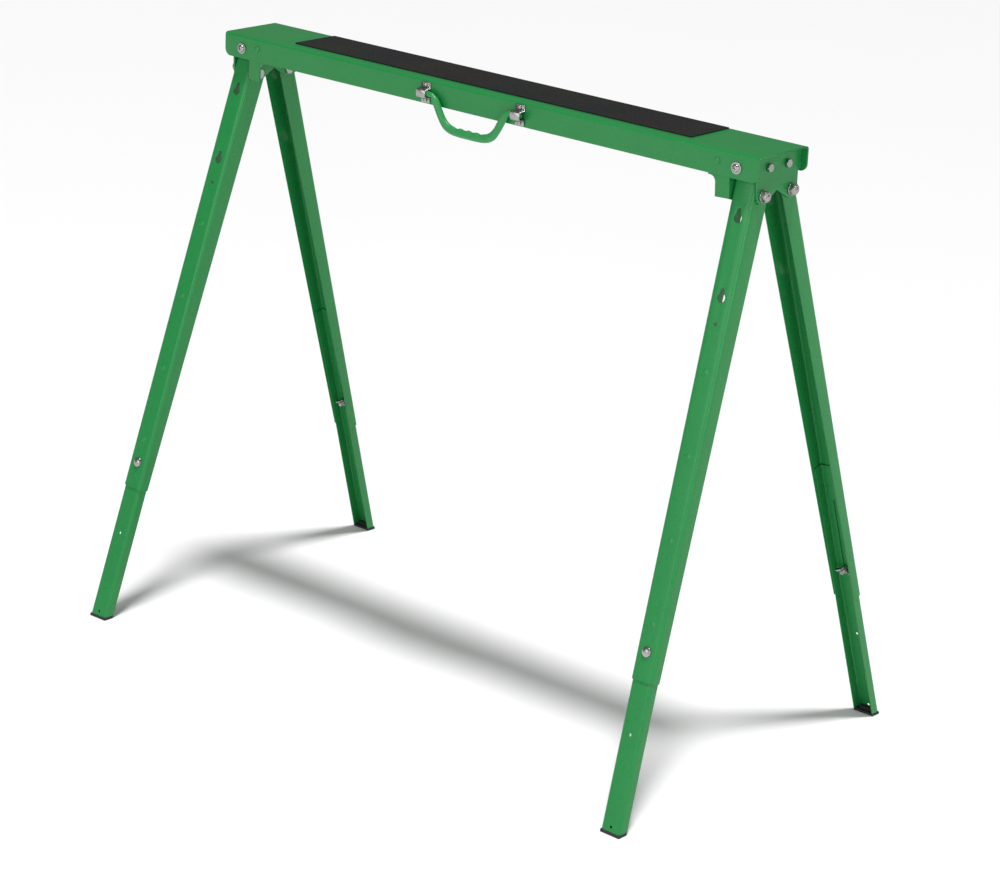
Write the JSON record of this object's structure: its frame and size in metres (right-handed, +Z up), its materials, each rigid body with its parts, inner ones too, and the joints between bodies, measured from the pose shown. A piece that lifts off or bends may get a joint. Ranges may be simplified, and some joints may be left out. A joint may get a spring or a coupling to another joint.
{
  "type": "folding sawhorse",
  "caption": "Green steel folding sawhorse with telescopic legs, a carrying handle and a black anti-slip pad on its beam.",
  "frame": {"origin": "on the floor under the middle of the beam", "axes": "+X along the beam, +Z up, and the carrying handle on the -Y side"},
  "size_m": [0.9644, 0.5448, 0.8068],
  "materials": {
    "green_paint": "glossy green powder coat",
    "black_grip": "matt black anti-slip strip with a fine grit",
    "zinc": "bright zinc plate",
    "rubber": "matt black rubber",
    "green_plastic": "satin green moulded plastic"
  },
  "bodies": {
    "beam": {"anti_slip_pad": "black_grip", "beam": "green_paint", "handle_saddle_left": "zinc", "handle_saddle_right": "zinc", "hinge_bolt_back_left": "zinc", "hinge_bolt_back_right": "zinc", "hinge_bolt_front_left": "zinc", "hinge_bolt_front_right": "zinc", "hinge_nut_back_left": "zinc", "hinge_nut_back_right": "zinc", "hinge_nut_front_left": "zinc", "hinge_nut_front_right": "zinc", "left_inner_bracket": "green_paint", "left_outer_bracket": "green_paint", "right_inner_bracket": "green_paint", "right_outer_bracket": "green_paint", "rivet_back_left": "green_paint", "rivet_back_right": "green_paint", "rivet_front_left": "green_paint", "rivet_front_right": "green_paint", "saddle_screw_left_lower": "zinc", "saddle_screw_left_upper": "zinc", "saddle_screw_right_lower": "zinc", "saddle_screw_right_upper": "zinc", "side_bolt_back_left": "zinc", "side_bolt_back_right": "zinc", "side_bolt_front_left": "zinc", "side_bolt_front_right": "zinc", "stop_bolt_back_left": "zinc", "stop_bolt_back_right": "zinc", "stop_bolt_front_left": "zinc", "stop_bolt_front_right": "zinc", "stop_nut_back_left": "zinc", "stop_nut_back_right": "zinc", "stop_nut_front_left": "zinc", "stop_nut_front_right": "zinc"},
    "leg_front_left": {"upper_leg_front_left": "green_paint", "lock_bolt_front_left": "zinc"},
    "extension_front_left": {"lower_leg_front_left": "green_paint", "rubber_foot_front_left": "rubber"},
    "nut_front_left": {"wing_nut_front_left": "zinc"},
    "leg_front_right": {"upper_leg_front_right": "green_paint", "lock_bolt_front_right": "zinc"},
    "extension_front_right": {"lower_leg_front_right": "green_paint", "rubber_foot_front_right": "rubber"},
    "nut_front_right": {"wing_nut_front_right": "zinc"},
    "leg_back_left": {"upper_leg_back_left": "green_paint", "lock_bolt_back_left": "zinc"},
    "extension_back_left": {"lower_leg_back_left": "green_paint", "rubber_foot_back_left": "rubber"},
    "nut_back_left": {"wing_nut_back_left": "zinc"},
    "leg_back_right": {"upper_leg_back_right": "green_paint", "lock_bolt_back_right": "zinc"},
    "extension_back_right": {"lower_leg_back_right": "green_paint", "rubber_foot_back_right": "rubber"},
    "nut_back_right": {"wing_nut_back_right": "zinc"},
    "handle": {"carrying_handle": "green_plastic"}
  },
  "joints": [
    {"name": "front_left_leg_fold", "type": "hinge", "parent": "beam", "child": "leg_front_left", "pos_m": [-0.43075, -0.0282, 0.75322], "axis": [0.9988, 0, -0.048], "range_deg": [0, 17]},
    {"name": "front_left_leg_extend", "type": "slide", "parent": "leg_front_left", "child": "extension_front_left", "axis": [-0.0459, -0.2924, -0.9552], "range_m": [0, 0.103]},
    {"name": "front_left_wing_nut_turn", "type": "hinge", "parent": "leg_front_left", "child": "nut_front_left", "pos_m": [-0.45648, -0.20365, 0.21758], "axis": [-0.014, 0.9563, -0.292], "continuous": true},
    {"name": "front_right_leg_fold", "type": "hinge", "parent": "beam", "child": "leg_front_right", "pos_m": [0.43075, -0.0282, 0.75322], "axis": [0.9988, 0, 0.048], "range_deg": [0, 17]},
    {"name": "front_right_leg_extend", "type": "slide", "parent": "leg_front_right", "child": "extension_front_right", "axis": [0.0459, -0.2924, -0.9552], "range_m": [0, 0.103]},
    {"name": "front_right_wing_nut_turn", "type": "hinge", "parent": "leg_front_right", "child": "nut_front_right", "pos_m": [0.45648, -0.20365, 0.21758], "axis": [0.014, 0.9563, -0.292], "continuous": true},
    {"name": "back_left_leg_fold", "type": "hinge", "parent": "beam", "child": "leg_back_left", "pos_m": [-0.43075, 0.0282, 0.75322], "axis": [-0.9988, 0, 0.048], "range_deg": [0, 17]},
    {"name": "back_left_leg_extend", "type": "slide", "parent": "leg_back_left", "child": "extension_back_left", "axis": [-0.0459, 0.2924, -0.9552], "range_m": [0, 0.103]},
    {"name": "back_left_wing_nut_turn", "type": "hinge", "parent": "leg_back_left", "child": "nut_back_left", "pos_m": [-0.45648, 0.20365, 0.21758], "axis": [-0.014, -0.9563, -0.292], "continuous": true},
    {"name": "back_right_leg_fold", "type": "hinge", "parent": "beam", "child": "leg_back_right", "pos_m": [0.43075, 0.0282, 0.75322], "axis": [-0.9988, 0, -0.048], "range_deg": [0, 17]},
    {"name": "back_right_leg_extend", "type": "slide", "parent": "leg_back_right", "child": "extension_back_right", "axis": [0.0459, 0.2924, -0.9552], "range_m": [0, 0.103]},
    {"name": "back_right_wing_nut_turn", "type": "hinge", "parent": "leg_back_right", "child": "nut_back_right", "pos_m": [0.45648, 0.20365, 0.21758], "axis": [0.014, -0.9563, -0.292], "continuous": true},
    {"name": "handle_swing", "type": "hinge", "parent": "beam", "child": "handle", "pos_m": [0, -0.0552, 0.7878], "axis": [-1, 0, 0], "range_deg": [-4, 170]}
  ]
}
